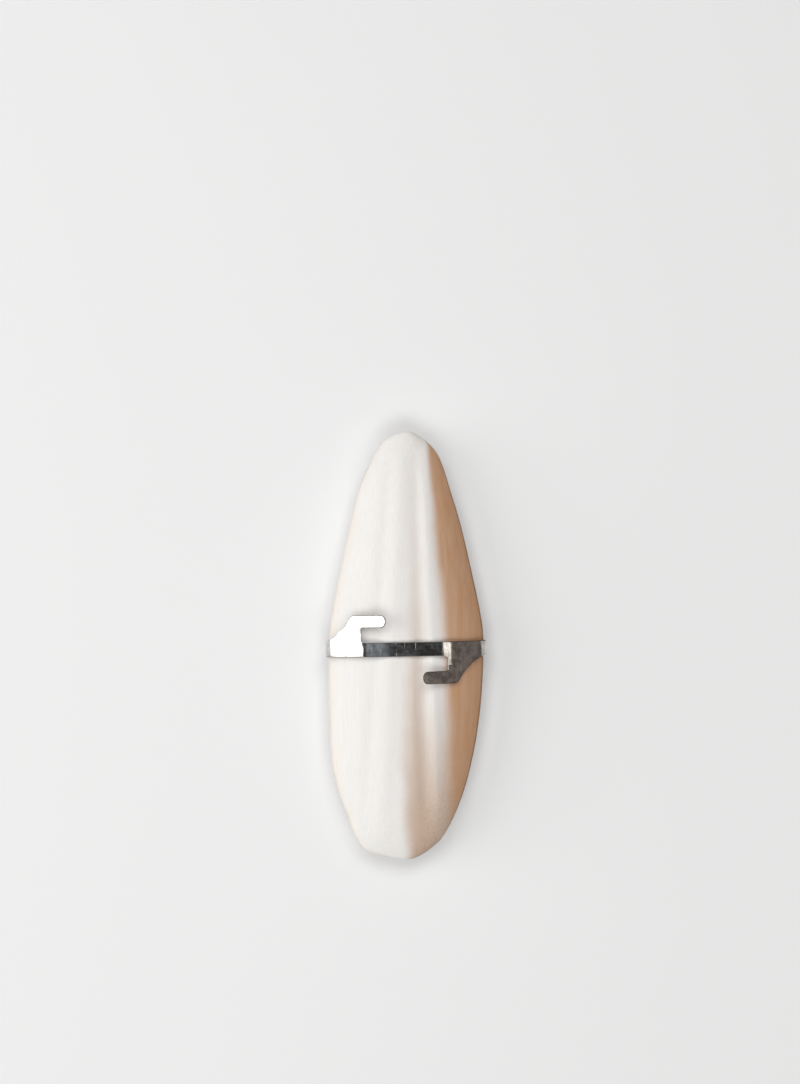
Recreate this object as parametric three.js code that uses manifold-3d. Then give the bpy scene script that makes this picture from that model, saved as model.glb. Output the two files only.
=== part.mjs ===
// A dried cuttlebone held by a bent sheet-metal clip, lying on its chalky side.
// Millimetres. +Y runs along the bone to its narrow head end, +Z points out of the hard back, +X is to the
// right when the back is seen with the head end up. The object rests on z = 0.

import * as THREE from "three";
import { mergeVertices } from "three/addons/utils/BufferGeometryUtils.js";
import Module from "manifold-3d";

// The bone: its size, where its axis lies and how finely it is divided.
const LENGTH = 115;
const HALF_LENGTH = LENGTH / 2;
const AXIS_X = 0.3;
const RIM_THICKNESS = 0.7;
const RIM_LEDGE = 0.05;
const RIM_FLATNESS = 12;
const RIM_FULLNESS = 2;
const COLUMNS_BACK = 42;
const COLUMNS_BELLY = 26;
const ROWS = 54;
const TIP_TOLERANCE = 1e-6;
const WELD_DISTANCE = 1e-5;

// The outline seen from above: at each place along the bone, how far the left and the right edge lie from
// the axis. The first and last entries are the bluntness of the two ends, as the radius an oval would have.
const OUTLINE = [
  { y: -57.5, left: 36, right: 17 },
  { y: -55.5, left: 9.7, right: 4.9 },
  { y: -52.5, left: 12.8, right: 8.4 },
  { y: -47, left: 15.5, right: 12.0 },
  { y: -40, left: 18.2, right: 14.9 },
  { y: -33, left: 19.9, right: 16.9 },
  { y: -22, left: 20.7, right: 19.0 },
  { y: -8, left: 21.1, right: 20.3 },
  { y: 5, left: 20.7, right: 20.2 },
  { y: 20, left: 18.0, right: 17.3 },
  { y: 33, left: 15.1, right: 14.2 },
  { y: 42, left: 12.9, right: 11.5 },
  { y: 48, left: 10.3, right: 9.6 },
  { y: 52.5, left: 8.0, right: 7.4 },
  { y: 55.5, left: 5.6, right: 4.4 },
  { y: 57.5, left: 22, right: 15 },
];

// The side view: heights of the back's crown, the rim and the belly along the bone.
const SIDE_VIEW = [
  { y: -57.5, crown: 9.4, rim: 6.4, belly: 5.2 },
  { y: -50, crown: 12.2, rim: 6.9, belly: 4.7 },
  { y: -38, crown: 13.8, rim: 7.2, belly: 3.8 },
  { y: -22, crown: 14.7, rim: 7.3, belly: 2.5 },
  { y: -5, crown: 14.9, rim: 7.1, belly: 1.7 },
  { y: 7, crown: 14.85, rim: 6.9, belly: 0.75 },
  { y: 20, crown: 14.4, rim: 6.8, belly: -0.15 },
  { y: 33, crown: 13.5, rim: 6.9, belly: 0.5 },
  { y: 46, crown: 12.1, rim: 7.1, belly: 2.3 },
  { y: 57.5, crown: 9.8, rim: 7.2, belly: 4.6 },
];

// How the back and the belly arch from rim to rim: a larger spread is flatter on top, a larger roundness is
// steeper at the rim. Both ends round off to the rim's height.
const BACK_ARCH = { spread: 2.5, roundness: 0.7 };
const BELLY_ARCH = { spread: 2.3, roundness: 0.75 };
const END_ROUNDING = 0.45;

// Low ribs and furrows run nearly straight along the back: where each crosses the middle, how far it leans
// to the right for each millimetre towards the head, how wide it is and how far it rises or sinks.
const RIBS = [
  { x: -8.1, lean: 0.07, spread: 1.7, height: -0.25 },
  { x: -4.3, lean: 0.05, spread: 2.1, height: 0.25 },
  { x: 3.7, lean: -0.025, spread: 1.9, height: -0.42 },
  { x: 6.5, lean: -0.05, spread: 1.7, height: 0.42 },
];
const RIB_FADE = { from: 0.3, to: 0.8 };
const RIB_FLATNESS = 4;

// The belly: the smooth last chamber ends in a curved step, and behind it the growth layers form low ledges
// round a shallow hollow.
const CHAMBER_EDGE_Y = -12;
const CHAMBER_EDGE_BOW = 13;
const CHAMBER_STEP = 0.5;
const LEDGE_COUNT = 3;
const LEDGE_SPACING = 10;
const LEDGE_HEIGHT = 0.3;
const LEDGE_SOFTNESS = 1.5;
const LEDGE_FLATNESS = 3;
const TAIL_HOLLOW = { y: -43, long: 11, wide: 0.42, depth: 1.3 };
const HOLLOW_SOFTNESS = 0.6;

// The clip: sheet thickness, strip width and the loop it is bent to, seen along the bone. The front's middle
// sits a little to the left of the loop's.
const SHEET = 0.45;
const STRIP_WIDTH = 3.8;
const CLIP_Y = -0.75;
const CLIP_TURN = THREE.MathUtils.degToRad(1);
const FRONT_X = -0.45;
const FRONT_Z = 15.9;
const FRONT_BEND = { x: 10.9, reach: 2.1 };
const FACET_SLOPE = THREE.MathUtils.degToRad(28);
const SIDE_X = 21.3;
const SIDE_Z = 6.6;
const SIDE_REACH = 1.6;
const SHOULDER_X = SIDE_X - 0.55;
const UNDERCUT = { x: SIDE_X - 3.2, z: 3.1 };
const UNDERSIDE_X = 9;
const LAP_X = 4;
const BEND_SEGMENTS = 5;

// The hooks, measured from the front's middle: a root on the sloping part of the strip, and a finger that
// reaches back over the middle. The bend across the strip dies out half-way up the root, and the root's
// outer edge sweeps down to the strip in one curve.
const ROOT_X = 11.6;
const FLAT_FROM = 2.4;
const FINGER_WIDTH = 3.4;
const FINGER_TIP_X = 4.8;
const FINGER_CORNER = 1.65;
const SLOT_WIDTH = 4;
const SLOT_CORNER = 0.9;
const HEEL = { x: 14, corner: 1 };
const SWEEP = { controlX: 16.6, controlUp: 2.1, endX: 21.8 };
const PLATE_END_X = 18.6;

// Heights across the strip, measured from its middle: its own edge, the slot's far side and the hook's top.
const EDGE_Y = STRIP_WIDTH / 2;
const SLOT_Y = EDGE_Y + SLOT_WIDTH;
const TOP_Y = SLOT_Y + FINGER_WIDTH;

const BONE_COLOUR = 0xeee9e1;
const STEEL_COLOUR = 0xb9bbbd;

const wasm = await Module();
wasm.setup();

function smoothStep(from, to, value) {
  return THREE.MathUtils.smoothstep(value, from, to);
}

function bump(distance, spread) {
  return Math.exp(-((distance / spread) ** 2));
}

// A smooth curve through { y, ... } entries for one of their values.
function curveOf(entries, key, valueAt = (entry) => entry[key]) {
  const ys = entries.map((entry) => entry.y);
  const values = entries.map(valueAt);
  const slopes = ys.map((y, i) => {
    const before = Math.max(i - 1, 0);
    const after = Math.min(i + 1, ys.length - 1);
    return (values[after] - values[before]) / (ys[after] - ys[before]);
  });
  return (y) => {
    const found = ys.findIndex((end, i) => i > 0 && y <= end);
    const i = found < 0 ? ys.length - 1 : found;
    const span = ys[i] - ys[i - 1];
    const t = THREE.MathUtils.clamp((y - ys[i - 1]) / span, 0, 1);
    const rise = values[i - 1] * (1 + 2 * t) * (1 - t) ** 2 + values[i] * t * t * (3 - 2 * t);
    return rise + span * t * (1 - t) * (slopes[i - 1] * (1 - t) - slopes[i] * t);
  };
}

// Both ends are round: the outline is an oval times a slowly changing half-width.
function ovalShare(y) {
  return Math.sqrt(Math.max(0, 1 - (y / HALF_LENGTH) ** 2));
}

function edgeCurve(side) {
  return curveOf(OUTLINE, side, (entry) => {
    const isEnd = Math.abs(entry.y) >= HALF_LENGTH;
    return isEnd ? entry[side] : entry[side] / ovalShare(entry.y);
  });
}

const leftWidth = edgeCurve("left");
const rightWidth = edgeCurve("right");
const crownHeight = curveOf(SIDE_VIEW, "crown");
const rimHeight = curveOf(SIDE_VIEW, "rim");
const bellyHeight = curveOf(SIDE_VIEW, "belly");

function halfWidth(side, y) {
  return (side < 0 ? leftWidth(y) : rightWidth(y)) * ovalShare(y);
}

// Rounds the profile off to the rim's height at both tips.
function endRounding(y) {
  return ovalShare(y) ** END_ROUNDING;
}

function arch(share, { spread, roundness }) {
  return (1 - share ** spread) ** roundness;
}

function backHeight(side, y) {
  const across = side * halfWidth(side, y);
  const fade = smoothStep(RIB_FADE.from, RIB_FADE.to, ovalShare(y)) * (1 - side ** RIB_FLATNESS);
  const ribHeight = (rib) => rib.height * bump(across - rib.x - rib.lean * y, rib.spread);
  const ribs = RIBS.reduce((sum, rib) => sum + ribHeight(rib), 0);
  const rise = (crownHeight(y) - rimHeight(y)) * endRounding(y);
  return rimHeight(y) + rise * arch(Math.abs(side), BACK_ARCH) + ribs * fade;
}

function ledges(side, y) {
  let height = 0;
  for (let i = 0; i <= LEDGE_COUNT; i += 1) {
    const edge = CHAMBER_EDGE_Y - CHAMBER_EDGE_BOW * side * side - i * LEDGE_SPACING;
    const step = i === 0 ? CHAMBER_STEP : LEDGE_HEIGHT;
    height += step * (1 - smoothStep(edge - LEDGE_SOFTNESS, edge + LEDGE_SOFTNESS, y));
  }
  return height * (1 - Math.abs(side) ** LEDGE_FLATNESS);
}

// The hollow's edge is softened, and the belly never rises above the rim's underside.
function bellyDrop(side, y) {
  const inner = Math.min(1, Math.abs(side) / (1 - RIM_LEDGE));
  const swell = arch(inner, BELLY_ARCH);
  const hollow = TAIL_HOLLOW.depth * bump(y - TAIL_HOLLOW.y, TAIL_HOLLOW.long) * bump(side, TAIL_HOLLOW.wide);
  const depth = (rimHeight(y) - bellyHeight(y) - RIM_THICKNESS) * endRounding(y);
  const drop = depth * swell - ledges(side, y) * swell - hollow;
  return (drop + Math.hypot(drop, HOLLOW_SOFTNESS * swell)) / 2;
}

function rimDrop(side, y) {
  return RIM_THICKNESS * (1 - Math.abs(side) ** RIM_FLATNESS) * Math.min(1, RIM_FULLNESS * ovalShare(y));
}

function bellySurface(side, y) {
  return rimHeight(y) - rimDrop(side, y) - bellyDrop(side, y);
}

// Where a point of the surface lies: side runs from -1 at the left edge to 1 at the right.
function bonePoint(side, y, isBack) {
  const z = isBack ? backHeight(side, y) : bellySurface(side, y);
  return new THREE.Vector3(side * halfWidth(side, y), y, z);
}

// A sphere is stretched into the bone: its poles are the two tips, and its columns are shared out between
// the back and the belly.
function boneGeometry() {
  const columns = COLUMNS_BACK + COLUMNS_BELLY;
  const geometry = new THREE.SphereGeometry(1, columns, ROWS);
  const position = geometry.attributes.position;
  const uv = geometry.attributes.uv;
  for (let i = 0; i < position.count; i += 1) {
    const column = Math.round(uv.getX(i) * columns - (isPoleRow(uv.getY(i)) ? 0.5 : 0));
    const y = HALF_LENGTH * Math.cos(Math.PI * (1 - uv.getY(i)));
    const isBack = column <= COLUMNS_BACK;
    const share = isBack ? column / COLUMNS_BACK : 1 - (column - COLUMNS_BACK) / COLUMNS_BELLY;
    const side = -Math.cos(Math.PI * share);
    const point = isPoleRow(uv.getY(i)) ? tipPoint(y) : bonePoint(side, y, isBack);
    position.setXYZ(i, point.x, point.y, point.z);
  }
  return geometry;
}

function isPoleRow(v) {
  return v < TIP_TOLERANCE || v > 1 - TIP_TOLERANCE;
}

function tipPoint(y) {
  return new THREE.Vector3(0, y, rimHeight(y));
}

function toSolid(geometry) {
  geometry.deleteAttribute("normal");
  geometry.deleteAttribute("uv");
  const merged = mergeVertices(geometry, WELD_DISTANCE);
  const mesh = new wasm.Mesh({
    numProp: 3,
    vertProperties: new Float32Array(merged.attributes.position.array),
    triVerts: new Uint32Array(merged.index.array),
  });
  return new wasm.Manifold(mesh);
}

function toGeometry(solid) {
  const mesh = solid.getMesh();
  const geometry = new THREE.BufferGeometry();
  geometry.setAttribute("position", new THREE.BufferAttribute(mesh.vertProperties, 3));
  geometry.setIndex(new THREE.BufferAttribute(mesh.triVerts, 1));
  return geometry;
}

// Corners of the strip's inner face seen along the bone, clockwise from the right bend on the front. Each
// has its place and how far before and after the corner the bend reaches.
function stripCorners() {
  return [...sideCorners(FRONT_X), ...sideCorners(-FRONT_X).toReversed().map(mirrored)];
}

// The right half of the strip for a front whose middle is shifted sideways.
function sideCorners(shift) {
  const front = FRONT_Z - SHEET;
  const bendX = FRONT_BEND.x + shift;
  return [
    corner(bendX, front, FRONT_BEND.reach),
    corner(SHOULDER_X, front - (SHOULDER_X - bendX) * Math.tan(FACET_SLOPE), SIDE_REACH),
    corner(SIDE_X, SIDE_Z, SIDE_REACH),
    corner(UNDERCUT.x, UNDERCUT.z, SIDE_REACH),
    corner(UNDERSIDE_X, SHEET, SIDE_REACH),
  ];
}

function mirrored({ at, bend }) {
  return corner(-at.x, at.y, bend);
}

function corner(x, z, bend) {
  return { at: new THREE.Vector2(x, z), bend };
}

function neighbours(corners, i) {
  const here = corners[i].at;
  const before = corners[(i + corners.length - 1) % corners.length].at;
  const after = corners[(i + 1) % corners.length].at;
  const back = before.clone().sub(here).normalize();
  const ahead = after.clone().sub(here).normalize();
  return { here, back, ahead };
}

// Moves every side of a clockwise convex outline outwards.
function grow(corners, distance) {
  return corners.map(({ bend }, i) => {
    const { here, back, ahead } = neighbours(corners, i);
    const outward = back.clone().add(ahead).normalize().negate();
    const reach = distance / Math.sin(back.angleTo(ahead) / 2);
    return { at: here.clone().addScaledVector(outward, reach), bend: bend + distance / 2 };
  });
}

// Draws an outline with every corner rounded.
function roundedOutline(path, corners) {
  corners.forEach(({ bend }, i) => {
    const { here, back, ahead } = neighbours(corners, i);
    const start = here.clone().addScaledVector(back, bend);
    const end = here.clone().addScaledVector(ahead, bend);
    if (i === 0) path.moveTo(start.x, start.y);
    else path.lineTo(start.x, start.y);
    path.quadraticCurveTo(here.x, here.y, end.x, end.y);
  });
  path.closePath();
  return path;
}

function extruded(shape, depth) {
  return new THREE.ExtrudeGeometry(shape, { depth, bevelEnabled: false, curveSegments: BEND_SEGMENTS });
}

// Extrudes an outline drawn in X and Z along Y, centred on the clip.
function alongBone(shape, width) {
  const geometry = extruded(shape, width);
  geometry.rotateX(Math.PI / 2);
  geometry.translate(0, width / 2, 0);
  return toSolid(geometry);
}

function loopSolid(width) {
  const corners = stripCorners();
  const outline = roundedOutline(new THREE.Shape(), grow(corners, SHEET));
  outline.holes.push(roundedOutline(new THREE.Path(), corners.toReversed()));
  return alongBone(outline, width);
}

// The strip's two ends lap on the underside and are welded there, so the sheet is double.
function lapSolid() {
  const lap = polygon([-LAP_X, SHEET / 2], [-LAP_X, 2 * SHEET], [LAP_X, 2 * SHEET], [LAP_X, SHEET / 2]);
  return alongBone(lap, STRIP_WIDTH);
}

function polygon(...points) {
  const shape = new THREE.Shape();
  shape.setFromPoints(points.map(([x, y]) => new THREE.Vector2(x, y)));
  return shape;
}

// The hook's outer edge, from the finger's top over the heel and down the sweep to the strip's edge. The
// function place turns a distance from the front's middle into the drawing's x.
function drawHeelAndSweep(shape, place) {
  shape.lineTo(place(HEEL.x - HEEL.corner), TOP_Y);
  shape.quadraticCurveTo(place(HEEL.x), TOP_Y, place(HEEL.x + HEEL.corner / 2), TOP_Y - HEEL.corner);
  shape.quadraticCurveTo(place(SWEEP.controlX), EDGE_Y + SWEEP.controlUp, place(SWEEP.endX), EDGE_Y);
}

// The left hook's root as seen from above. It is cut from a wide loop.
function rootBlock() {
  const outline = new THREE.Shape();
  outline.moveTo(-SWEEP.endX, 0);
  outline.lineTo(SLOT_CORNER - ROOT_X, 0);
  outline.lineTo(SLOT_CORNER - ROOT_X, EDGE_Y);
  outline.quadraticCurveTo(-ROOT_X, EDGE_Y, -ROOT_X, EDGE_Y + SLOT_CORNER);
  outline.lineTo(-ROOT_X, TOP_Y);
  drawHeelAndSweep(outline, (x) => -x);
  const block = extruded(outline, FRONT_Z);
  block.translate(0, 0, SIDE_Z);
  return toSolid(block);
}

// The left hook's finger lies in the plane of the sloping facet. It is drawn flat with x = 0 on the bend and
// the strip's middle on y = 0; x runs towards the finger's tip.
function fingerOutline() {
  const flat = (x) => (FRONT_BEND.x - x) / Math.cos(FACET_SLOPE);
  const tip = flat(FINGER_TIP_X);
  const root = flat(ROOT_X);
  const shape = new THREE.Shape();
  shape.moveTo(flat(SWEEP.endX), EDGE_Y);
  shape.lineTo(root, EDGE_Y);
  shape.lineTo(root, SLOT_Y - SLOT_CORNER);
  shape.quadraticCurveTo(root, SLOT_Y, root + SLOT_CORNER, SLOT_Y);
  shape.lineTo(tip - FINGER_CORNER, SLOT_Y);
  shape.quadraticCurveTo(tip, SLOT_Y, tip, SLOT_Y + FINGER_CORNER);
  shape.lineTo(tip, TOP_Y - FINGER_CORNER);
  shape.quadraticCurveTo(tip, TOP_Y, tip - FINGER_CORNER, TOP_Y);
  drawHeelAndSweep(shape, flat);
  return shape;
}

// The drawn outline runs on past the flat part, so only that part is kept.
function fingerSolid() {
  const plate = extruded(fingerOutline(), SHEET);
  plate.rotateY(-FACET_SLOPE);
  plate.translate(-FRONT_BEND.x, 0, FRONT_Z - SHEET);
  const low = EDGE_Y + FLAT_FROM;
  const high = TOP_Y + SHEET;
  const flatPart = polygon([-PLATE_END_X, low], [0, low], [0, high], [-PLATE_END_X, high]);
  return toSolid(plate).intersect(toSolid(extruded(flatPart, 2 * FRONT_Z)));
}

// One hook, turned about the front's middle: half a turn carries the left hook into the right one.
function hookSolid(degrees) {
  const inPlace = (solid) => solid.rotate([0, 0, degrees]).translate([FRONT_X, 0, 0]);
  return loopSolid(2 * TOP_Y).intersect(inPlace(rootBlock())).add(inPlace(fingerSolid()));
}

function clipGeometry() {
  const strip = loopSolid(STRIP_WIDTH).add(lapSolid());
  return toGeometry(strip.add(hookSolid(0)).add(hookSolid(180)));
}

function bone() {
  const material = new THREE.MeshStandardMaterial({ color: BONE_COLOUR, roughness: 0.85, metalness: 0 });
  const mesh = new THREE.Mesh(toGeometry(toSolid(boneGeometry())), material);
  mesh.name = "cuttlebone";
  mesh.position.x = AXIS_X;
  return mesh;
}

function clip() {
  const material = new THREE.MeshStandardMaterial({ color: STEEL_COLOUR, roughness: 0.2, metalness: 1 });
  const mesh = new THREE.Mesh(clipGeometry(), material);
  mesh.name = "clip";
  mesh.position.y = CLIP_Y;
  mesh.rotation.z = CLIP_TURN;
  return mesh;
}

const object = new THREE.Group();
object.add(bone(), clip());

export default object;
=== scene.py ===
# %% [markdown]
# # A cuttlebone in its cage clip
#
# The object is a dried cuttlebone, 115 mm long, gripped by a strip of bright sheet steel with two hooked
# fingers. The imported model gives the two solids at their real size. This script gives them their finish: a
# fine mesh with ribs, grains and growth lines for the bone, crisp rolled edges and scratches for the clip,
# then a camera straight above and soft studio light.

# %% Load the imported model
import math
from types import SimpleNamespace

import bmesh
import bpy
import mathutils
import numpy as np
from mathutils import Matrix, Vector
from mathutils.bvhtree import BVHTree


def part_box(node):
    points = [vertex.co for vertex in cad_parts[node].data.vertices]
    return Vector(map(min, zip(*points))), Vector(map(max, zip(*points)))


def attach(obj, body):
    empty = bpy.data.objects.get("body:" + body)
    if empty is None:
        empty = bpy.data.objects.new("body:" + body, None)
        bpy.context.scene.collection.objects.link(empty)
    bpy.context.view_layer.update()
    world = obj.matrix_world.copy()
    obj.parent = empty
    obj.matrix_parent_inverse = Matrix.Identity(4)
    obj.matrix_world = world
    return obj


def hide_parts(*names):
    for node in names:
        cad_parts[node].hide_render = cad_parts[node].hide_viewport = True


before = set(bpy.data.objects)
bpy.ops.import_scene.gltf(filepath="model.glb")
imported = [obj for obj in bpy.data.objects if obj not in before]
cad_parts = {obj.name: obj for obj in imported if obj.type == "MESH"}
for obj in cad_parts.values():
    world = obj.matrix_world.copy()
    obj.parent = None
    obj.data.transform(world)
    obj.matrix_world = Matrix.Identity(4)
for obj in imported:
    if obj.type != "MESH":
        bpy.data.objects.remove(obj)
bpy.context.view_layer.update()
bone_low, bone_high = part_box("cuttlebone")
MM = 0.001
print("bone size in mm", [round(size / MM, 1) for size in bone_high - bone_low])

# %% [markdown]
# ## Where the camera stands
#
# The photograph was taken squarely from the front with a long lens, so the camera looks straight down on the
# lying bone. One scale ties everything together: how many pixels of the photograph are one millimetre. The
# picture's height in millimetres and the lens give the distance. The bone sits low in the picture because
# the camera is centred on a point further up, not because it is tilted.

# %% Camera
PHOTO_WIDTH_PX = 800
PHOTO_HEIGHT_PX = 1084
PX_PER_MM = 3.72
OBJECT_IN_PHOTO_PX = (406.0, 645.5)
LENS_MM = 100
SENSOR_MM = 36
RIM_LEVEL = 7 * MM

picture_height = PHOTO_HEIGHT_PX / PX_PER_MM * MM
camera_distance = picture_height * LENS_MM / SENSOR_MM
camera_data = bpy.data.cameras.new("camera")
camera_data.lens = LENS_MM
camera_data.sensor_width = SENSOR_MM
camera = bpy.data.objects.new("camera", camera_data)
camera.location = (
    (PHOTO_WIDTH_PX / 2 - OBJECT_IN_PHOTO_PX[0]) / PX_PER_MM * MM,
    (OBJECT_IN_PHOTO_PX[1] - PHOTO_HEIGHT_PX / 2) / PX_PER_MM * MM,
    RIM_LEVEL + camera_distance,
)
bpy.context.scene.collection.objects.link(camera)
bpy.context.scene.camera = camera
print("camera stands", round(camera_distance, 3), "m above the rim")

# %% [markdown]
# ## The bone's outline and side view
#
# A cuttlebone grows by adding one thin layer after another, so its form is smooth along its length. A few
# widths and heights measured at places along the bone are enough, with a smooth curve through them. Both
# ends are round, so the outline is an oval multiplied by a half-width that changes slowly.

# %% Stations along the bone, in millimetres
OUTLINE = [
    # along, left, right
    (-57.5, 39, 17),
    (-55.5, 10.2, 5.1),
    (-52.5, 13.1, 8.6),
    (-47, 15.5, 12.0),
    (-40, 18.2, 14.9),
    (-33, 19.9, 16.9),
    (-22, 20.7, 19.0),
    (-8, 21.1, 20.3),
    (5, 20.7, 20.2),
    (20, 18.0, 17.3),
    (33, 15.1, 14.2),
    (42, 12.9, 11.5),
    (48, 10.3, 9.6),
    (52.5, 8.0, 7.4),
    (55.5, 5.6, 4.4),
    (57.5, 22, 15),
]
SIDE_VIEW = [
    # along, crown, rim, belly
    (-57.5, 9.4, 6.4, 5.2),
    (-50, 12.2, 6.9, 4.7),
    (-38, 13.8, 7.2, 3.8),
    (-22, 14.7, 7.3, 2.5),
    (-5, 14.9, 7.1, 1.7),
    (7, 14.85, 6.9, 0.75),
    (20, 14.4, 6.8, -0.15),
    (33, 13.5, 6.9, 0.5),
    (46, 12.1, 7.1, 2.3),
    (57.5, 9.8, 7.2, 4.6),
]
HALF_LENGTH = (bone_high.y - bone_low.y) / 2 / MM
AXIS_X = 0.3


def curve_through(places, values):
    """A smooth curve through the values at the given places."""
    places, values = np.array(places, float), np.array(values, float)
    slopes = np.empty_like(values)
    slopes[1:-1] = (values[2:] - values[:-2]) / (places[2:] - places[:-2])
    slopes[0] = (values[1] - values[0]) / (places[1] - places[0])
    slopes[-1] = (values[-1] - values[-2]) / (places[-1] - places[-2])

    def curve(y):
        i = np.clip(np.searchsorted(places, y), 1, len(places) - 1)
        span = places[i] - places[i - 1]
        t = np.clip((y - places[i - 1]) / span, 0, 1)
        rise = values[i - 1] * (1 + 2 * t) * (1 - t) ** 2 + values[i] * t * t * (3 - 2 * t)
        return rise + span * t * (1 - t) * (slopes[i - 1] * (1 - t) - slopes[i] * t)

    return curve


def oval_share(y):
    return np.sqrt(np.maximum(0, 1 - (y / HALF_LENGTH) ** 2))


def edge_curve(column):
    places = [row[0] for row in OUTLINE]
    inner = [row[column] / oval_share(row[0]) for row in OUTLINE[1:-1]]
    return curve_through(places, [OUTLINE[0][column], *inner, OUTLINE[-1][column]])


left_width, right_width = edge_curve(1), edge_curve(2)
side_places = [row[0] for row in SIDE_VIEW]
crown_height, rim_height, belly_height = [
    curve_through(side_places, [row[column] for row in SIDE_VIEW]) for column in (1, 2, 3)
]
print("width at the middle in mm", round(float(left_width(0.0) + right_width(0.0)), 1))

# %% [markdown]
# ## The hard back
#
# Across the back run two low ribs with shallow furrows beside them, and the flanks drop to a thin rim. They
# could be sculpted by hand, but each rib or furrow is only a soft hump or dip added to a flat-topped arch, so
# a short list does it. Each line of the list leans a little, because the ribs spread towards the tail, as
# they grew.

# %% Height of the back
RIBS = [
    # where it crosses the middle, lean, spread and height, all in mm
    (-8.1, 0.07, 1.7, -0.25),
    (-4.3, 0.05, 2.1, 0.25),
    (3.7, -0.025, 1.9, -0.42),
    (6.5, -0.05, 1.7, 0.42),
]
BACK_SPREAD, BACK_ROUNDNESS = 2.5, 0.7
END_ROUNDING = 0.45
RIB_FADE = (0.3, 0.8)
RIB_FLATNESS = 4


def bump(distance, spread):
    return np.exp(-((distance / spread) ** 2))


def smooth_step(start, end, value):
    t = np.clip((value - start) / (end - start), 0, 1)
    return t * t * (3 - 2 * t)


def half_width(side, y):
    return np.where(side < 0, left_width(y), right_width(y)) * oval_share(y)


def end_rounding(y):
    return oval_share(y) ** END_ROUNDING


def arch(share, spread, roundness):
    return np.maximum(0, 1 - share**spread) ** roundness


def rib_relief(across, y):
    return sum(height * bump(across - x - lean * y, spread) for x, lean, spread, height in RIBS)


def back_height(side, y):
    fade = smooth_step(*RIB_FADE, oval_share(y)) * (1 - side**RIB_FLATNESS)
    rise = (crown_height(y) - rim_height(y)) * end_rounding(y)
    bow = arch(np.abs(side), BACK_SPREAD, BACK_ROUNDNESS)
    return rim_height(y) + rise * bow + rib_relief(side * half_width(side, y), y) * fade


print("crown at the middle in mm", round(float(back_height(0.0, 0.0)), 2))

# %% [markdown]
# ## The chalky belly
#
# Underneath, the newest chamber is a smooth swelling that ends in a curved step. Behind it the edges of the
# older layers come to the surface one after another, as fine arched lines, and they run back to a shallow
# cup at the tail with a horseshoe ridge round it. The steps follow a rule, so they are computed: a line's
# place depends only on how far back it starts and how much it bows.

# %% Height of the belly
RIM_THICKNESS = 0.7
RIM_LEDGE = 0.05
CHAMBER_EDGE_Y = -12
CHAMBER_EDGE_BOW = 13
CHAMBER_STEP = 0.5
LEDGE_COUNT = 3
LEDGE_SPACING = 10
LEDGE_HEIGHT = 0.3
LEDGE_FLATNESS = 3
STEP_SOFTNESS = 1.5
TAIL_HOLLOW_Y, TAIL_HOLLOW_LONG, TAIL_HOLLOW_WIDE, TAIL_HOLLOW_DEPTH = -43, 11, 0.42, 1.3
HOLLOW_SOFTNESS = 0.6
BELLY_SPREAD, BELLY_ROUNDNESS = 2.3, 0.75
GROOVE_DEPTH, GROOVE_WIDTH, GROOVE_START = 0.22, 0.09, 8
RIM_SQUARENESS = 12
RIM_FULLNESS = 2


def layer_place(side, y):
    """How far behind the newest chamber's edge a point lies, measured along the arched lines."""
    return CHAMBER_EDGE_Y - CHAMBER_EDGE_BOW * side**2 - y


def step_up(behind):
    return smooth_step(-STEP_SOFTNESS, STEP_SOFTNESS, behind)


def ledges(side, y):
    behind = layer_place(side, y)
    height = CHAMBER_STEP * step_up(behind)
    for i in range(1, LEDGE_COUNT + 1):
        height = height + LEDGE_HEIGHT * step_up(behind - i * LEDGE_SPACING)
    return height * (1 - np.abs(side) ** LEDGE_FLATNESS)


# %% Growth lines
LINE_SPACING = 1.15
LINE_HEIGHT = 0.07
LINE_RISE, LINE_FALL = (0, 0.75), (0.85, 1)
LINES_START = (0, 3)
LINE_FLATNESS = 6
LINE_WAVES = [
    # how far a line strays, in spacings, and how fast with the side and along the bone
    (0.5, 5.1, 0.35),
    (0.3, 11, -0.21),
]


def growth_lines(side, y):
    behind = layer_place(side, y)
    wander = sum(reach * np.sin(turn * side + drift * y) for reach, turn, drift in LINE_WAVES)
    saw = np.mod(behind / LINE_SPACING + wander, 1.0)
    line = smooth_step(*LINE_RISE, saw) * (1 - smooth_step(*LINE_FALL, saw))
    return LINE_HEIGHT * line * smooth_step(*LINES_START, behind) * (1 - np.abs(side) ** LINE_FLATNESS)


# %% The whole underside
def belly_drop(side, y):
    inner = np.minimum(1, np.abs(side) / (1 - RIM_LEDGE))
    swell = arch(inner, BELLY_SPREAD, BELLY_ROUNDNESS)
    hollow = TAIL_HOLLOW_DEPTH * bump(y - TAIL_HOLLOW_Y, TAIL_HOLLOW_LONG) * bump(side, TAIL_HOLLOW_WIDE)
    groove = GROOVE_DEPTH * bump(side, GROOVE_WIDTH) * smooth_step(0, GROOVE_START, layer_place(side, y))
    depth = (rim_height(y) - belly_height(y) - RIM_THICKNESS) * end_rounding(y)
    drop = depth * swell - ledges(side, y) * swell - hollow - groove
    return (drop + np.hypot(drop, HOLLOW_SOFTNESS * swell)) / 2 - growth_lines(side, y) * swell


def belly_surface(side, y):
    squareness = 1 - np.abs(side) ** RIM_SQUARENESS
    rim_drop = RIM_THICKNESS * squareness * np.minimum(1, RIM_FULLNESS * oval_share(y))
    return rim_height(y) - rim_drop - belly_drop(side, y)


print("belly under the middle in mm", round(float(belly_surface(0.0, 0.0)), 2))

# %% [markdown]
# ## A fine skin for the bone
#
# The surface is a grid wrapped round the bone like the skin of a balloon: rows along the length, columns
# round the section, and one point at each tip. Rows crowd together near the tips, where the outline turns
# fastest.

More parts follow.
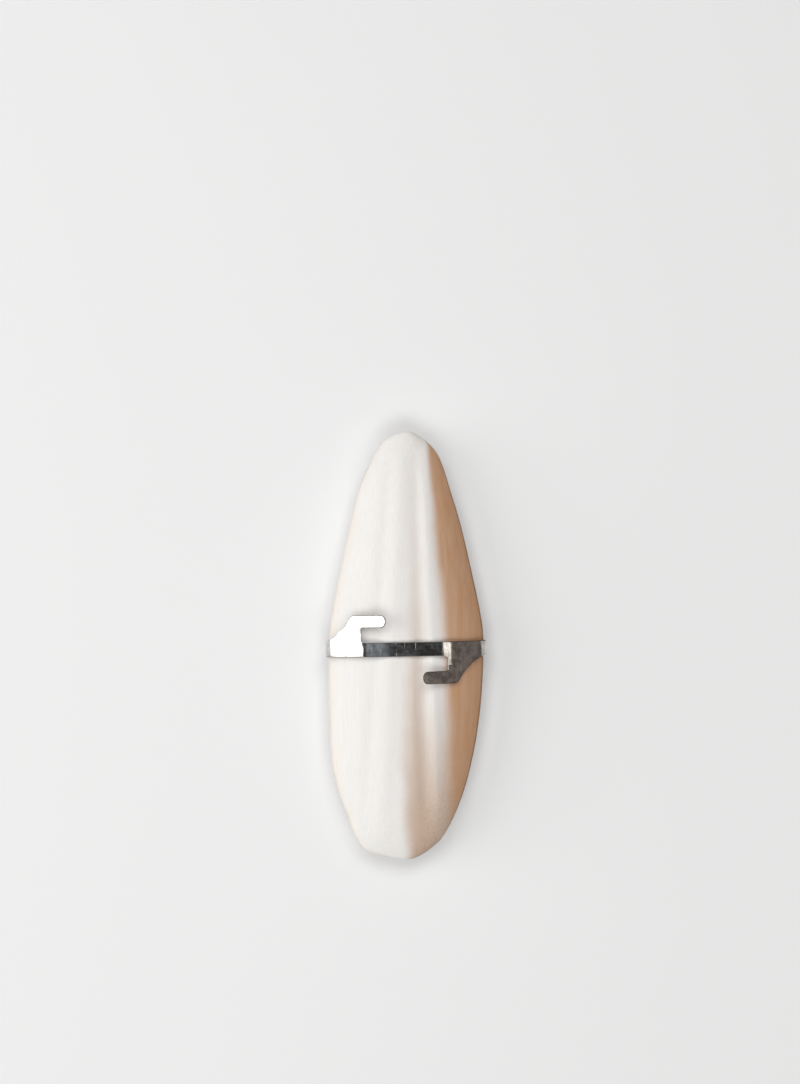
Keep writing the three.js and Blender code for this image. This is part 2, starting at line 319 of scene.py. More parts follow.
# %% Grid of the bone
ROWS = 330
COLUMNS_BACK = 172
COLUMNS_BELLY = 126
ROW_CROWDING = 0.6


def row_places():
    share = np.linspace(-1, 1, ROWS + 1)[1:-1]
    return HALF_LENGTH * ((1 - ROW_CROWDING) * share + ROW_CROWDING * np.sin(math.pi / 2 * share))


def ring_sides():
    """Side positions round one ring: left to right over the back, then right to left under the belly."""
    over = -np.cos(math.pi * np.arange(COLUMNS_BACK) / COLUMNS_BACK)
    under = np.cos(math.pi * np.arange(COLUMNS_BELLY) / COLUMNS_BELLY)
    return np.concatenate([over, under])


def bone_points():
    y, side = np.meshgrid(row_places(), ring_sides(), indexing="ij")
    is_back = np.zeros_like(side, dtype=bool)
    is_back[:, :COLUMNS_BACK] = True
    z = np.where(is_back, back_height(side, y), belly_surface(side, y))
    return side * half_width(side, y) + AXIS_X, y, z, side, is_back


def bone_faces(rows, columns):
    """Quads between neighbouring rings and a fan of triangles at each tip."""
    first_tip, last_tip = rows * columns, rows * columns + 1
    faces = []
    for column in range(columns):
        after = (column + 1) % columns
        faces.append((first_tip, after, column))
        last = (rows - 1) * columns
        faces.append((last_tip, last + column, last + after))
        for row in range(rows - 1):
            here, ahead = row * columns, (row + 1) * columns
            faces.append((here + column, here + after, ahead + after, ahead + column))
    return faces


# %% [markdown]
# ## What each point remembers
#
# Stains and growth lines follow the form, not the room, and so does the painted shade laid on the right
# flank and in the furrow, so the skin carries them along. At every point it stores how far across and along
# the bone it lies, and how far from the furrow and from the edge of the stained and shaded flank. These two
# lines were drawn as curves through a few measured places. A picture laid over the bone would do it too, but
# it could not be tuned, and it would smear where the flanks turn down.

# %% Lines that the colours follow, in millimetres
FURROW_LINE = [
    # along, to the right of the middle
    (-57.5, 5.2),
    (-47, 4.3),
    (-35, 3.5),
    (-22, 2.6),
    (-12, 2.1),
    (12, 2.3),
    (39, 1.9),
    (57.5, 1.6),
]
# The border of the flank's stain and painted shade.
STAIN_AND_SHADE_LINE = [
    # along, to the right of the middle
    (-57.5, 12.2),
    (-35, 11.2),
    (-15, 10.7),
    (12, 9.1),
    (26, 7.7),
    (40, 6.7),
    (50, 5.7),
    (57.5, 5.4),
]
STAIN_AND_SHADE_SOFTNESS = [
    # along, softness of the border
    (-57.5, 2.6),
    (-15, 2.4),
    (12, 2.2),
    (30, 1.7),
    (45, 1.1),
    (57.5, 1.0),
]
furrow_line, stain_and_shade_line, stain_and_shade_softness = [
    curve_through(*zip(*line)) for line in (FURROW_LINE, STAIN_AND_SHADE_LINE, STAIN_AND_SHADE_SOFTNESS)
]


def store(mesh, name, values, at_tips):
    """Keeps one number for each point of the grid and for the two tips."""
    attribute = mesh.attributes.new(name, "FLOAT", "POINT")
    attribute.data.foreach_set("value", np.append(values.ravel(), at_tips).astype(np.float32))


# %% The skin
x, y, z, side, is_back = bone_points()
tips = [(AXIS_X, end, rim_height(end)) for end in (-HALF_LENGTH, HALF_LENGTH)]
points = np.column_stack([x.ravel(), y.ravel(), z.ravel()])
points = np.vstack([points, np.array(tips, dtype=float)]) * MM
skin_mesh = bpy.data.meshes.new("bone_skin")
skin_mesh.from_pydata(points.tolist(), [], bone_faces(*x.shape))
across = side * half_width(side, y)
store(skin_mesh, "side", side, (0, 0))
store(skin_mesh, "across", across, (0, 0))
store(skin_mesh, "along", y / HALF_LENGTH, (-1, 1))
store(skin_mesh, "back", is_back, (1, 1))
store(skin_mesh, "from_furrow", across - furrow_line(y), (0, 0))
store(skin_mesh, "from_stain", (across - stain_and_shade_line(y)) / stain_and_shade_softness(y), (0, 0))
store(skin_mesh, "behind", layer_place(side, y), (40, -60))
print("skin has", len(skin_mesh.vertices), "points")

# %% [markdown]
# ## Grains and unevenness
#
# No grown thing is perfectly smooth. The back has slow dents and, towards the tail, a crust of tiny chalk
# grains. A noise texture could fake both in the material alone, but at the rim the grains show against the
# light, so they are real geometry: Geometry Nodes push each point along its normal. The sizes are inputs of
# the tree, so they can be tuned without touching its wiring.

# %% Helpers for wiring node trees
def add_node(tree, kind, inputs=(), **settings):
    """Adds a node, sets its properties and fills its inputs with values or links."""
    node = tree.nodes.new(kind)
    for name, value in settings.items():
        setattr(node, name, value)
    for key, value in dict(inputs).items():
        if isinstance(value, bpy.types.NodeSocket):
            tree.links.new(value, node.inputs[key])
        else:
            node.inputs[key].default_value = value
    return node


def math_node(tree, operation, *values):
    return add_node(tree, "ShaderNodeMath", dict(enumerate(values)), operation=operation).outputs[0]


def map_range(tree, value, low, high, to_low=0.0, to_high=1.0):
    node = add_node(
        tree,
        "ShaderNodeMapRange",
        {"Value": value, "From Min": low, "From Max": high, "To Min": to_low, "To Max": to_high},
        interpolation_type="SMOOTHSTEP",
    )
    return node.outputs["Result"]


# %% Dents and grains
GRAIN_KNOB = (0.65, 0.1)
PATCH_SCALE = 90.0
PATCH_BORDER = (0.42, 0.62)
TAIL_GRAINS_ALONG = (-0.35, -0.8)
TAIL_GRAINS_ACROSS = (-2.0, 7.0)


def named_float(tree, name):
    node = add_node(tree, "GeometryNodeInputNamedAttribute", {"Name": name}, data_type="FLOAT")
    return node.outputs["Attribute"]


def dent_push(tree, place, size, depth):
    """Slow dents and swellings all over."""
    scale = math_node(tree, "DIVIDE", 1.0, size)
    dent = add_node(tree, "ShaderNodeTexNoise", {"Vector": place, "Scale": scale, "Detail": 2.0})
    return math_node(tree, "MULTIPLY", math_node(tree, "SUBTRACT", dent.outputs[0], 0.5), depth)


def grain_push(tree, place, size, patch_height, tail_height):
    """Small round grains on the back: a few in patches, and a crust of them at the tail."""
    scale = math_node(tree, "DIVIDE", 1.0, size)
    cells = {"Vector": place, "Scale": scale, "Smoothness": 0.6, "Randomness": 1.0}
    grain = add_node(tree, "ShaderNodeTexVoronoi", cells, feature="SMOOTH_F1")
    knob = map_range(tree, grain.outputs["Distance"], *GRAIN_KNOB)
    patch = add_node(tree, "ShaderNodeTexNoise", {"Vector": place, "Scale": PATCH_SCALE, "Detail": 2.0})
    patches = map_range(tree, patch.outputs[0], *PATCH_BORDER)
    at_tail = map_range(tree, named_float(tree, "along"), *TAIL_GRAINS_ALONG)
    on_right = map_range(tree, named_float(tree, "across"), *TAIL_GRAINS_ACROSS)
    tail = math_node(tree, "MULTIPLY", at_tail, on_right)
    height = math_node(tree, "MULTIPLY", patch_height, patches)
    height = math_node(tree, "MULTIPLY_ADD", tail_height, tail, height)
    grains = math_node(tree, "MULTIPLY", knob, height)
    return math_node(tree, "MULTIPLY", grains, named_float(tree, "back"))


# %% The relief tree
def build_relief_tree(sizes, material):
    """A tree with one named input for each size, which moves every point along its normal."""
    tree = bpy.data.node_groups.new("bone_relief", "GeometryNodeTree")
    socket = tree.interface.new_socket
    socket("Geometry", in_out="INPUT", socket_type="NodeSocketGeometry")
    for name in sizes:
        socket(name, in_out="INPUT", socket_type="NodeSocketFloat")
    socket("Geometry", in_out="OUTPUT", socket_type="NodeSocketGeometry")
    inputs = add_node(tree, "NodeGroupInput").outputs
    place = add_node(tree, "GeometryNodeInputPosition").outputs[0]
    dents = dent_push(tree, place, inputs["Dent size"], inputs["Dent depth"])
    heights = inputs["Grain height"], inputs["Tail grain height"]
    grains = grain_push(tree, place, inputs["Grain size"], *heights)
    push = math_node(tree, "ADD", dents, grains)

    normal = add_node(tree, "GeometryNodeInputNormal").outputs[0]
    offset = add_node(tree, "ShaderNodeVectorMath", {0: normal, "Scale": push}, operation="SCALE")
    move = {"Geometry": inputs["Geometry"], "Offset": offset.outputs[0]}
    moved = add_node(tree, "GeometryNodeSetPosition", move)
    real = add_node(tree, "GeometryNodeRealizeInstances", {"Geometry": moved.outputs[0]})
    finish = {"Geometry": real.outputs[0], "Material": material}
    dressed = add_node(tree, "GeometryNodeSetMaterial", finish)
    tree.links.new(dressed.outputs[0], add_node(tree, "NodeGroupOutput").inputs[0])
    return tree


# %% Helper that runs a tree
def apply_tree(source, tree, values, name):
    """Runs a tree on an object and returns the result as a new object with a plain mesh."""
    modifier = source.modifiers.new("nodes", "NODES")
    modifier.node_group = tree
    for item in tree.interface.items_tree:
        if item.in_out == "INPUT" and item.name in values:
            modifier[item.identifier] = values[item.name]
    evaluated = source.evaluated_get(bpy.context.evaluated_depsgraph_get())
    mesh = bpy.data.meshes.new_from_object(evaluated)
    mesh.name = name
    source.modifiers.remove(modifier)
    result = bpy.data.objects.new(name, mesh)
    bpy.context.scene.collection.objects.link(result)
    bpy.data.objects.remove(source)
    return result


# %% [markdown]
# ## The bone's material
#
# Dry cuttlebone is matt chalk, nearly white. Its horny rim and the flank on the right are stained tan to
# brown. On the right, the side turned away from the key light, the same colours also carry painted shade.
# The furrow and the right half of the tail get a tan painted shade, and the crust at the tail is sandy. It
# could be painted by hand on the mesh. Here the tints are laid over each other like washes of paint, each
# held in place by a mask made from the numbers stored on the skin and broken up by noise, so that no border
# is straight and every width can still be tuned.

# %% Tints
CHALK = (0.90, 0.885, 0.865, 1)
PEACH = (0.93, 0.80, 0.66, 1)
# A warm tan that is painted shade, not a stain, used in the furrow and on the tail's right half.
PAINTED_WARM_SHADE = (0.60, 0.44, 0.33, 1)
# The two flank colours are partly a tan stain and partly painted shade on the side away from the key light.
FLANK_STAIN_AND_SHADE = (0.57, 0.325, 0.18, 1)
FLANK_DEEP_STAIN_AND_SHADE = (0.52, 0.25, 0.115, 1)
RIM_BROWN_AND_SHADE = (0.30, 0.14, 0.06, 1)
SAND = (0.50, 0.30, 0.17, 1)
LINE_CREAM = (0.74, 0.64, 0.50, 1)


def wash(tree, under, tint, strength):
    """Lays one tint over what is under it, as strongly as the mask says."""
    node = add_node(tree, "ShaderNodeMix", data_type="RGBA")
    tree.links.new(strength, node.inputs[0])
    for key, value in ((6, under), (7, tint)):
        if isinstance(value, bpy.types.NodeSocket):
            tree.links.new(value, node.inputs[key])
        else:
            node.inputs[key].default_value = value
    return node.outputs[2]


def attribute(tree, name):
    return add_node(tree, "ShaderNodeAttribute", attribute_name=name).outputs["Fac"]


def noise(tree, vector, scale, detail=3.0, roughness=0.5):
    inputs = {"Vector": vector, "Scale": scale, "Detail": detail, "Roughness": roughness}
    return add_node(tree, "ShaderNodeTexNoise", inputs).outputs[0]


def stretched(tree, vector, across, along):
    """Object coordinates scaled so that a pattern runs along the bone."""
    mapping = {"Vector": vector, "Scale": (across, along, across)}
    return add_node(tree, "ShaderNodeMapping", mapping).outputs[0]


def new_material(name):
    material = bpy.data.materials.new(name)
    material.use_nodes = True
    tree = material.node_tree
    return material, tree, tree.nodes["Principled BSDF"]


# %% Masks and the patterns they share
# Scales are repeats per metre: a cloud is about 7 mm wide, and a streak 1.4 mm wide and 25 mm long.
CLOUD_SCALE = 140.0
STREAK_SCALE = (700.0, 40.0)
FINE_STREAK_SCALE = (2600.0, 110.0)


def multiply(tree, *values):
    """The product of several masks."""
    product = values[0]
    for value in values[1:]:
        product = math_node(tree, "MULTIPLY", product, value)
    return product


def band(tree, place, half_width_mm, softness_mm):
    """One inside a band round a line and zero outside it."""
    distance = math_node(tree, "ABSOLUTE", place)
    return map_range(tree, distance, half_width_mm + softness_mm, half_width_mm - softness_mm)


def bone_patterns(tree):
    """The numbers stored on the skin, and the noises that are laid over every mask."""
    names = ("side", "across", "along", "back", "behind", "from_furrow", "from_stain")
    skin = SimpleNamespace(**{name: attribute(tree, name) for name in names})
    skin.place = add_node(tree, "ShaderNodeTexCoord").outputs["Object"]
    skin.belly = math_node(tree, "SUBTRACT", 1.0, skin.back)
    skin.cloud = math_node(tree, "SUBTRACT", noise(tree, skin.place, CLOUD_SCALE, 4.0), 0.5)
    skin.streak = noise(tree, stretched(tree, skin.place, *STREAK_SCALE), 1.0, 3.0)
    skin.fine_streak = noise(tree, stretched(tree, skin.place, *FINE_STREAK_SCALE), 1.0, 2.0)
    return skin


def strayed(tree, skin, place, reach):
    """Lets a place stray with the clouds, so that a border drawn from it isn't straight."""
    return math_node(tree, "MULTIPLY_ADD", skin.cloud, reach, place)


# %% [markdown]
# ## The washes, one by one
#
# Each range below says where its mask begins and where it is full, and two more numbers, if there are any,
# say how strong it is at these two ends. Places across the bone are in millimetres, from the line they are
# measured from. Places along it run from -1 at the tail to 1 at the head, and sides from -1 to 1.

# %% Painted shade in the furrow and on the tail's right half
FURROW_BAND = (2.0, 2.6)
FURROW_STRENGTH = (0.7, -0.5, 0.15, 0.7)
FURROW_STREAKS = (0.2, 0.75, 0.8, 1.0)
FURROW_STRAY = 2.0
TAIL_BORDER = (-6.6, -2.4)
TAIL_STRENGTH = (-0.05, -1.0, 0.0, 0.95)


# Painted shade: a warm tan darkens the furrow and the right half of the tail, where less light falls.
def furrow_and_tail_painted_shade(tree, skin, colour):
    from_line = strayed(tree, skin, skin.from_furrow, FURROW_STRAY)
    strength = map_range(tree, skin.along, *FURROW_STRENGTH)
    streaks = map_range(tree, skin.streak, *FURROW_STREAKS)
    mask = multiply(tree, band(tree, from_line, *FURROW_BAND), strength, skin.back, streaks)
    colour = wash(tree, colour, PAINTED_WARM_SHADE, mask)
    right_half = map_range(tree, from_line, *TAIL_BORDER)
    tail = map_range(tree, skin.along, *TAIL_STRENGTH)
    return wash(tree, colour, PAINTED_WARM_SHADE, multiply(tree, right_half, tail, skin.back))


# %% The stained and shaded flank, and the warm left edge
STAIN_AND_SHADE_STRAY = 0.5
FLANK_BORDER = (-1.0, 1.0)
FLANK_STREAKS = (0.25, 0.7, 0.88, 1.0)
DEEP_STRENGTH = (0.0, 5.0, 0.0, 0.4)
DEEP_STREAKS = (0.25, 0.75, 0.6, 1.0)
LEFT_STRAY = 0.2
LEFT_STRENGTH = (-0.82, -0.99, 0.0, 0.3)


# The right flank is partly a tan stain and partly painted shade, as it faces away from the key light.
def flank_stain_and_shade_wash(tree, skin, colour):
    from_line = strayed(tree, skin, skin.from_stain, STAIN_AND_SHADE_STRAY)
    flank = multiply(tree, map_range(tree, from_line, *FLANK_BORDER), skin.back)
    flank = multiply(tree, flank, map_range(tree, skin.streak, *FLANK_STREAKS))
    colour = wash(tree, colour, FLANK_STAIN_AND_SHADE, flank)
    deep = multiply(tree, map_range(tree, from_line, *DEEP_STRENGTH), skin.back)
    deep = multiply(tree, deep, map_range(tree, skin.fine_streak, *DEEP_STREAKS))
    return wash(tree, colour, FLANK_DEEP_STAIN_AND_SHADE, deep)


def left_edge_wash(tree, skin, colour):
    edge = map_range(tree, strayed(tree, skin, skin.side, LEFT_STRAY), *LEFT_STRENGTH)
    return wash(tree, colour, PEACH, multiply(tree, edge, skin.back))


# %% Sand at the tail, growth lines and the rim
SPECKLE_SCALE = 2300.0
SPECKLES = (0.5, 0.66)
SAND_ALONG = (-0.55, -0.85)
SAND_ACROSS = (1.0, 8.0)
SAND_STRAY = 2.4
SAND_STRENGTH = 0.5
LINE_TINT = (0.2, 1.0, 0.0, 0.45)
LINES_BEHIND = (0.0, 3.0)
RIM_BAND = (0.97, 0.995)
RIM_STRENGTH = (-2.0, 1.0, 0.12, 0.9)


def sand_wash(tree, skin, colour):
    tail = map_range(tree, skin.along, *SAND_ALONG)
    on_right = map_range(tree, strayed(tree, skin, skin.across, SAND_STRAY), *SAND_ACROSS)
    speckles = map_range(tree, noise(tree, skin.place, SPECKLE_SCALE, 2.0), *SPECKLES)
    mask = multiply(tree, tail, on_right, speckles, skin.back)
    return wash(tree, colour, SAND, math_node(tree, "MULTIPLY", mask, SAND_STRENGTH))


def growth_line_wash(tree, skin, colour):
    turns = math_node(tree, "MULTIPLY", skin.behind, 2 * math.pi / LINE_SPACING)
    lines = map_range(tree, math_node(tree, "SINE", turns), *LINE_TINT)
    lines = multiply(tree, lines, map_range(tree, skin.behind, *LINES_BEHIND), skin.belly)
    return wash(tree, colour, LINE_CREAM, lines)


# The horny rim is brown all round. Its much stronger brown on the right flank is painted shade.
def rim_stain_and_shade_wash(tree, skin, colour):
    rim = map_range(tree, math_node(tree, "ABSOLUTE", skin.side), *RIM_BAND)
    strength = map_range(tree, skin.from_stain, *RIM_STRENGTH)
    return wash(tree, colour, RIM_BROWN_AND_SHADE, multiply(tree, rim, strength))


# %% The whole material
PALE_STREAKS = (0.3, 0.7, 0.0, 0.14)
MATT_SCALE = 400.0
MATT_RANGE = (0.3, 0.7, 0.62, 0.85)
GLOSS = 0.3
GRAIN_SCALE = 2600.0
STREAK_HEIGHT = 0.7
GRAIN_BUMP = {"Strength": 0.3, "Distance": 0.12 * MM}


def bone_material():
    material, tree, shader = new_material("cuttlebone_chalk")
    skin = bone_patterns(tree)
    colour = wash(tree, CHALK, LINE_CREAM, map_range(tree, skin.fine_streak, *PALE_STREAKS))
    for lay in (furrow_and_tail_painted_shade, flank_stain_and_shade_wash, left_edge_wash, sand_wash, growth_line_wash, rim_stain_and_shade_wash):
        colour = lay(tree, skin, colour)
    tree.links.new(colour, shader.inputs["Base Color"])
    matt = map_range(tree, noise(tree, skin.place, MATT_SCALE), *MATT_RANGE)
    tree.links.new(matt, shader.inputs["Roughness"])
    shader.inputs["Specular IOR Level"].default_value = GLOSS
    grain = noise(tree, skin.place, GRAIN_SCALE, 4.0, 0.7)
    height = math_node(tree, "MULTIPLY_ADD", skin.fine_streak, STREAK_HEIGHT, grain)
    bumps = add_node(tree, "ShaderNodeBump", {"Height": height, **GRAIN_BUMP})
    tree.links.new(bumps.outputs[0], shader.inputs["Normal"])
    return material


# %% Dress the skin
chalk = bone_material()
print("chalk has", len(chalk.node_tree.nodes), "nodes")
skin = bpy.data.objects.new("bone_skin", skin_mesh)
bpy.context.scene.collection.objects.link(skin)
RELIEF_SIZES = {
    "Dent size": 9 * MM,
    "Dent depth": 0.22 * MM,
    "Grain size": 0.9 * MM,
    "Grain height": 0.03 * MM,
    "Tail grain height": 0.07 * MM,
}
relief_tree = build_relief_tree(RELIEF_SIZES, chalk)
bone = apply_tree(skin, relief_tree, RELIEF_SIZES, "bone")
bone.data.polygons.foreach_set("use_smooth", [True] * len(bone.data.polygons))
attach(bone, "root")
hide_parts("cuttlebone")
print("bone has", sum(len(p.vertices) - 2 for p in bone.data.polygons), "triangles")

# %% [markdown]
# ## The clip
#
# The clip is stamped from bright plated sheet and bent, so its faces mirror the room, its edges are slightly
# rolled, and the narrow faces where the punch cut through are dull and dark. They and the rolled edges are
# painted darker still, as painted shade for the dark outline of the sheet. It could be modelled anew as a
# thin plate with a Solidify modifier, but the solid already has the right form. A copy of it is welded, and
# its flat faces are joined again. A short ray into the metal tells the cut faces from the broad ones, because
# behind a cut face the metal goes on for longer than the sheet is thick. A small bevel then rolls the edges
# of the cut faces. Faces that meet at a small angle are shaded as one, which makes the bends smooth.

# %% Clip mesh
EDGE_ROLL = 0.16 * MM
ROLL_ROOM = 1.5 * EDGE_ROLL
SHARP_ANGLE = math.radians(40)
FLAT_ANGLE = math.radians(0.5)
THICKEST_SHEET = 0.7 * MM
THINNEST_CUT = 0.1 * MM
RAY_START = 0.01 * MM
WELD_DISTANCE = 0.002 * MM
ROLL = {"offset_type": "OFFSET", "segments": 2, "profile": 0.5, "affect": "EDGES"}


def inner_point(face):
    """A point inside a face, even when its outline is hollow: the middle of its largest triangle."""
    corners = [loop.vert.co for loop in face.loops]
    triangles = mathutils.geometry.tessellate_polygon([corners])
    picks = [[corners[i] for i in triangle] for triangle in triangles]
    largest = max(picks, key=lambda pick: mathutils.geometry.area_tri(*pick))
    return sum(largest, Vector()) / 3


def is_cut_face(face, tree):
    """True for the narrow faces where the sheet was cut: the metal behind them is deeper than a sheet."""
    inside = inner_point(face) - face.normal * RAY_START
    distance = tree.ray_cast(inside, -face.normal)[3]
    width = 2 * face.calc_area() / face.calc_perimeter()
    return distance is not None and distance > THICKEST_SHEET and width > THINNEST_CUT


def needs_roll(edge, cut_edge):
    return edge.calc_face_angle(0) > SHARP_ANGLE and any(face[cut_edge] for face in edge.link_faces)


def roll_fits(edge):
    """A roll needs room: neither end of the edge may touch an edge that is hardly longer than the roll."""
    return all(other.calc_length() > ROLL_ROOM for vert in edge.verts for other in vert.link_edges)


def finished_sheet(node, name):
    """Welds the solid, rolls its sharp edges and marks every cut or rolled face."""
    sheet = bmesh.new()
    sheet.from_mesh(node.data)
    bmesh.ops.remove_doubles(sheet, verts=sheet.verts, dist=WELD_DISTANCE)
    bmesh.ops.dissolve_limit(sheet, angle_limit=FLAT_ANGLE, verts=sheet.verts, edges=sheet.edges)
    sheet.normal_update()
    cut_edge = sheet.faces.layers.float.new("cut_edge")
    tree = BVHTree.FromBMesh(sheet)
    for face in sheet.faces:
        face.smooth = True
        face[cut_edge] = float(is_cut_face(face, tree))
    sharp = [edge for edge in sheet.edges if needs_roll(edge, cut_edge) and roll_fits(edge)]
    rolled = bmesh.ops.bevel(sheet, geom=sharp, offset=EDGE_ROLL, **ROLL)
    for face in rolled["faces"]:
        face[cut_edge] = 1.0
        face.smooth = True
    for edge in sheet.edges:
        marks = {face[cut_edge] for face in edge.link_faces}
        edge.smooth = len(marks) == 1 and edge.calc_face_angle(0) < SHARP_ANGLE
    mesh = bpy.data.meshes.new(name)
    sheet.to_mesh(mesh)
    sheet.free()
    result = bpy.data.objects.new(name, mesh)
    bpy.context.scene.collection.objects.link(result)
    return result


# %% [markdown]
# ## Bright steel
#
# Polished sheet shows the room more than itself, so most of its look comes from the lights below. Its own
# part is small: a fine grain from rolling, a few scratches in two directions, cloudy wear, and cut and rolled
# edges that are duller and darker. Their near-black colour is partly painted shade for the dark outline of
# the sheet. A flat plate would mirror one even tone, so the bump also bows the front by a hair and adds
# shallow dents, which turn the reflection into soft gradients.

# %% Colours and sizes of the steel's finish
STEEL = (0.72, 0.71, 0.70, 1)
DULL_STEEL = (0.44, 0.425, 0.41, 1)
# Near black: dull unplated steel, darkened further as painted shade for the sheet's dark outline.
CUT_STEEL_AND_SHADE = (0.10, 0.095, 0.09, 1)
ROLLING_SCALE = (300.0, 5000.0)
SLANTING_SCRATCHES = {"turn": 0.5, "across": 2600.0, "along": 160.0, "limits": (0.62, 0.74)}
STEEP_SCRATCHES = {"turn": -0.9, "across": 2200.0, "along": 120.0, "limits": (0.64, 0.76)}
SMEAR_SCALE, SMEAR_LIMITS = 320.0, (0.45, 0.75)
WEAR_SCALE, WEAR_LIMITS = 420.0, (0.4, 0.62)
# Roughness runs from 0, a perfect mirror, to 1.
ROLLING_ROUGHNESS = (0.3, 0.7, 0.10, 0.15)
SMEAR_ROUGHNESS, SCRATCH_ROUGHNESS, CUT_ROUGHNESS = 0.08, 0.16, 0.3
# The front's bow as the radius of a circle, and every other height, in metres.
BOW_RADIUS = 0.14
DENT_SCALE = 190.0
DENT_DEPTH = 0.05 * MM
ROLLING_DEPTH = 0.01 * DENT_DEPTH
SCRATCH_DEPTH = 0.05 * DENT_DEPTH


# %% Steel material
def scratch_mask(tree, place, turn, across, along, limits):
    """Thin lines in one direction, broken into short lengths."""
    mapping = {"Vector": place, "Rotation": (0.0, 0.0, turn), "Scale": (across, along, across)}
    turned = add_node(tree, "ShaderNodeMapping", mapping).outputs[0]
    return map_range(tree, noise(tree, turned, 1.0, 2.0), *limits)


def steel_patterns(tree):
    """The marks on the sheet: cut edges, rolling grain and scratches."""
    place = add_node(tree, "ShaderNodeTexCoord").outputs["Object"]
    slanting = scratch_mask(tree, place, **SLANTING_SCRATCHES)
    steep = scratch_mask(tree, place, **STEEP_SCRATCHES)
    return SimpleNamespace(
        place=place,
        cut_edge=attribute(tree, "cut_edge"),
        rolling=noise(tree, stretched(tree, place, *ROLLING_SCALE), 1.0, 3.0),
        scratches=math_node(tree, "MAXIMUM", slanting, steep),
    )


# Cut and rolled faces are dull unplated steel, painted near black partly as painted shade for the outline.
def steel_colour(tree, marks):
    worn = map_range(tree, noise(tree, marks.place, WEAR_SCALE, 5.0, 0.65), *WEAR_LIMITS)
    return wash(tree, wash(tree, STEEL, DULL_STEEL, worn), CUT_STEEL_AND_SHADE, marks.cut_edge)


def steel_roughness(tree, marks):
    smears = map_range(tree, noise(tree, marks.place, SMEAR_SCALE, 5.0, 0.6), *SMEAR_LIMITS)
    rough = map_range(tree, marks.rolling, *ROLLING_ROUGHNESS)
    rough = math_node(tree, "MULTIPLY_ADD", smears, SMEAR_ROUGHNESS, rough)
    rough = math_node(tree, "MULTIPLY_ADD", marks.scratches, SCRATCH_ROUGHNESS, rough)
    return math_node(tree, "MULTIPLY_ADD", marks.cut_edge, CUT_ROUGHNESS, rough)


def steel_height(tree, marks):
    """Bow, dents, rolling grain and scratches as one height in metres."""
    x = add_node(tree, "ShaderNodeSeparateXYZ", {"Vector": marks.place}).outputs["X"]
    bow = math_node(tree, "MULTIPLY", math_node(tree, "MULTIPLY", x, x), -0.5 / BOW_RADIUS)
    height = math_node(tree, "MULTIPLY_ADD", noise(tree, marks.place, DENT_SCALE, 1.0), DENT_DEPTH, bow)
    height = math_node(tree, "MULTIPLY_ADD", marks.rolling, ROLLING_DEPTH, height)
    return math_node(tree, "MULTIPLY_ADD", marks.scratches, -SCRATCH_DEPTH, height)


def steel_material():
    material, tree, shader = new_material("bright_sheet_steel")
    marks = steel_patterns(tree)
    tree.links.new(steel_colour(tree, marks), shader.inputs["Base Color"])
    tree.links.new(steel_roughness(tree, marks), shader.inputs["Roughness"])
    shader.inputs["Metallic"].default_value = 1.0
    whole = {"Height": steel_height(tree, marks), "Strength": 1.0, "Distance": 1.0}
    bumps = add_node(tree, "ShaderNodeBump", whole)
    tree.links.new(bumps.outputs[0], shader.inputs["Normal"])
    return material


# %% Dress the clip
clip = finished_sheet(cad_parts["clip"], "sheet_clip")
clip.data.materials.append(steel_material())
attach(clip, "root")
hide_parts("clip")
print("clip has", len(clip.data.polygons), "faces")

# %% [markdown]
# ## Floor and light
#
# The floor is plain and pale. Two wide panels, leaning towards the head and the tail, light the bone softly.
# The others are there for the steel as well, because each face of the clip mirrors one part of the room. The
# left slope and finger mirror the key panel on the left and turn white, and a low panel fills in their outer
# end. A faint bluish one shows at the left end of the front. A narrow warm one gives the short bright bend on
# the right, and a large dim one the dark grey of the right slope. Straight above, it stays dark, and so does
# the middle of the front. One strong lamp would be simpler, but the steel would then be black round a dot.

# %% Floor
FLOOR_SIZE = 4.0
FLOOR_GREY = 0.9
FLOOR_ROUGHNESS = 0.9


def floor_material():
    material, _, shader = new_material("pale_floor")
    shader.inputs["Base Color"].default_value = (FLOOR_GREY, FLOOR_GREY, FLOOR_GREY, 1)
    shader.inputs["Roughness"].default_value = FLOOR_ROUGHNESS
    return material


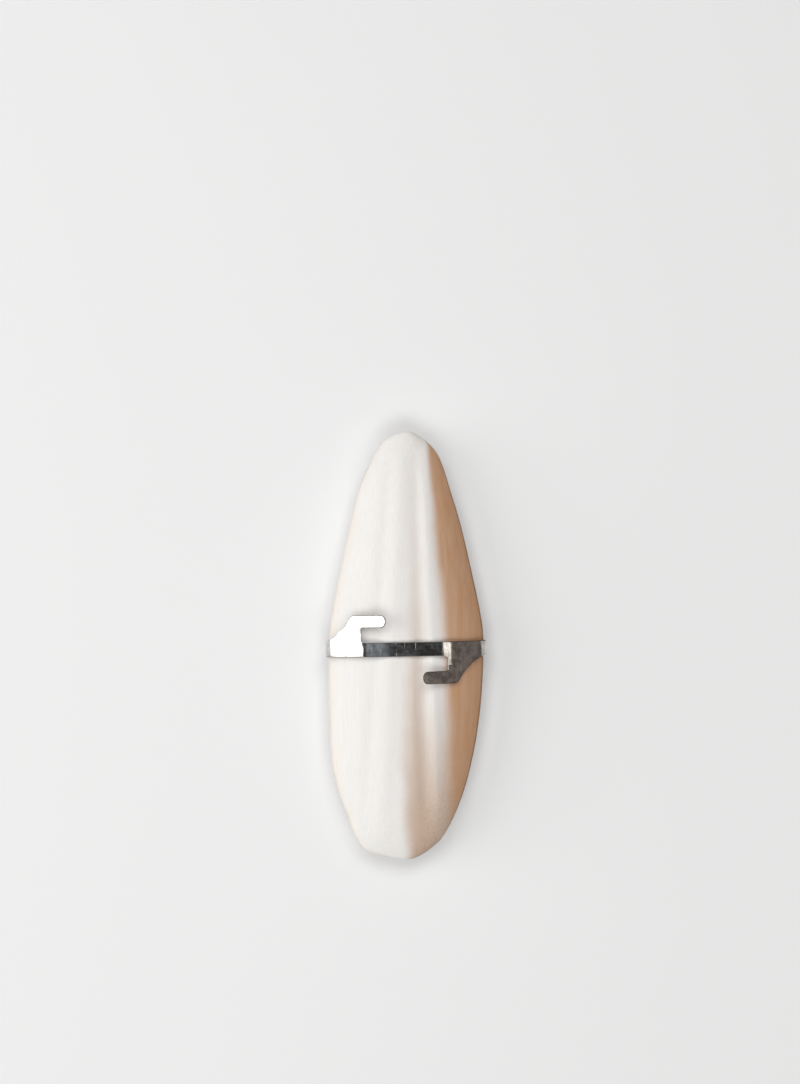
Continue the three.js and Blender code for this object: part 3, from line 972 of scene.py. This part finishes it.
floor_mesh = bpy.data.meshes.new("floor")
half = FLOOR_SIZE / 2
floor_corners = [(-half, -half, 0), (half, -half, 0), (half, half, 0), (-half, half, 0)]
floor_mesh.from_pydata(floor_corners, [], [(0, 1, 2, 3)])
floor_mesh.materials.append(floor_material())
floor = bpy.data.objects.new("floor", floor_mesh)
bpy.context.scene.collection.objects.link(floor)
print("floor is", FLOOR_SIZE, "m wide")


# %% Lights
PANEL_DISTANCE = 1.0
FILL_DISTANCE = 1.2
FILL_SIZE = (1.1, 0.6)
FILL_RADIANCE = 3.0
FILL_LEAN = 28
KEY_TINT, GLOW_TINT = (1.0, 0.99, 0.98), (0.8, 0.9, 1.0)
BEND_TINT, SLOPE_TINT = (1.0, 0.95, 0.87), (1.0, 0.80, 0.70)
WORLD_STRENGTH = 0.03


def panel(name, lean, size, radiance, tint=(1, 1, 1), distance=PANEL_DISTANCE, along=0.0):
    """A soft panel that leans so many degrees to the right from straight above, or towards the head."""
    data = bpy.data.lights.new(name, "AREA")
    data.shape = "RECTANGLE"
    data.size, data.size_y = size
    data.energy = radiance * math.pi * size[0] * size[1]
    data.color = tint
    light = bpy.data.objects.new(name, data)
    lean, along = math.radians(lean), math.radians(along)
    up = math.cos(lean) * math.cos(along)
    light.location = Vector((math.sin(lean), math.sin(along), up)) * distance
    light.rotation_euler = (-along, lean, 0)
    bpy.context.scene.collection.objects.link(light)


panel("left_key", -57, (0.6, 0.8), 2.5, KEY_TINT)
panel("left_low", -84, (0.4, 0.6), 2.0)
panel("left_glow", -17, (0.40, 0.5), 0.28, GLOW_TINT)
panel("bend_light", 42, (0.5, 0.10), 1.6, BEND_TINT)
panel("right_glow", 74, (0.75, 1.2), 0.14, SLOPE_TINT)
panel("head_fill", 0, FILL_SIZE, FILL_RADIANCE, distance=FILL_DISTANCE, along=FILL_LEAN)
panel("tail_fill", 0, FILL_SIZE, FILL_RADIANCE, distance=FILL_DISTANCE, along=-FILL_LEAN)

world = bpy.data.worlds.new("studio")
world.use_nodes = True
background = world.node_tree.nodes["Background"]
background.inputs["Color"].default_value = (1, 1, 1, 1)
background.inputs["Strength"].default_value = WORLD_STRENGTH
bpy.context.scene.world = world
bpy.context.scene.view_settings.view_transform = "Standard"
print("lit by", len(bpy.data.lights), "panels")
